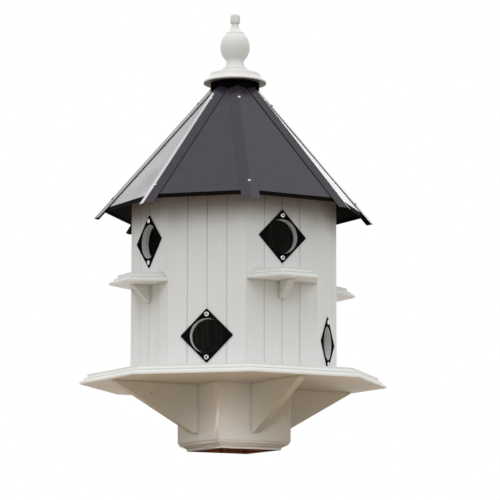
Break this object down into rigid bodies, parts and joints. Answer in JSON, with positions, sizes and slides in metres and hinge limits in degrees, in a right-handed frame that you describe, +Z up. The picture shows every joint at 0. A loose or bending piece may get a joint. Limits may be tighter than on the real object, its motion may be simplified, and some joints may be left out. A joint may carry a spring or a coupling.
{
  "type": "purple martin birdhouse",
  "caption": "Two-storey octagonal martin house with grooved walls, round entrances, perches, a moulded tray on a post pedestal, and a dark metal roof under a turned finial.",
  "frame": {"origin": "centre of the collar's underside, at the mouth of the post socket", "axes": "+Z up through the finial; -Y through the middle of side 1, which has an upper entrance and a perch; +X through the middle of side 3"},
  "size_m": [0.472, 0.472, 0.7366],
  "materials": {
    "wall_paint": "satin white paint",
    "tray_paint": "satin white paint",
    "perch_paint": "satin white paint",
    "bracket_paint": "satin white paint",
    "pedestal_paint": "satin white paint",
    "collar_paint": "satin white paint",
    "finial_paint": "satin white paint",
    "dark_paint": "matt black paint",
    "bare_wood": "bare sawn board",
    "roof_metal": "dark grey satin coating",
    "ridge_metal": "dark grey satin coating",
    "plate_metal": "black satin coating",
    "screw_steel": "bright plated steel"
  },
  "bodies": {
    "root": {"collar": "collar_paint", "entrance_plate_1": "plate_metal", "entrance_plate_2": "plate_metal", "entrance_plate_3": "plate_metal", "entrance_plate_4": "plate_metal", "entrance_plate_5": "plate_metal", "entrance_plate_6": "plate_metal", "entrance_plate_7": "plate_metal", "entrance_plate_8": "plate_metal", "finial": "finial_paint", "lower_partition_a": "bare_wood", "lower_partition_b": "bare_wood", "peak_block": "dark_paint", "pedestal_board_1": "pedestal_paint", "pedestal_board_2": "pedestal_paint", "pedestal_board_3": "pedestal_paint", "pedestal_board_4": "pedestal_paint", "perch_1": "perch_paint", "perch_2": "perch_paint", "perch_3": "perch_paint", "perch_4": "perch_paint", "perch_bracket_1": "bracket_paint", "perch_bracket_2": "bracket_paint", "perch_bracket_3": "bracket_paint", "perch_bracket_4": "bracket_paint", "ridge_cap_1": "ridge_metal", "ridge_cap_2": "ridge_metal", "ridge_cap_3": "ridge_metal", "ridge_cap_4": "ridge_metal", "ridge_cap_5": "ridge_metal", "ridge_cap_6": "ridge_metal", "ridge_cap_7": "ridge_metal", "ridge_cap_8": "ridge_metal", "roof_panel_1": "roof_metal", "roof_panel_2": "roof_metal", "roof_panel_3": "roof_metal", "roof_panel_4": "roof_metal", "roof_panel_5": "roof_metal", "roof_panel_6": "roof_metal", "roof_panel_7": "roof_metal", "roof_panel_8": "roof_metal", "top_plate": "bare_wood", "tray": "tray_paint", "tray_bracket_1": "bracket_paint", "tray_bracket_2": "bracket_paint", "tray_bracket_3": "bracket_paint", "tray_bracket_4": "bracket_paint", "upper_floor": "bare_wood", "upper_partition_a": "bare_wood", "upper_partition_b": "bare_wood", "wall_panel_1": "wall_paint", "wall_panel_2": "wall_paint", "wall_panel_3": "wall_paint", "wall_panel_4": "wall_paint", "wall_panel_5": "wall_paint", "wall_panel_6": "wall_paint", "wall_panel_7": "wall_paint", "wall_panel_8": "wall_paint"}
  },
  "joints": []
}
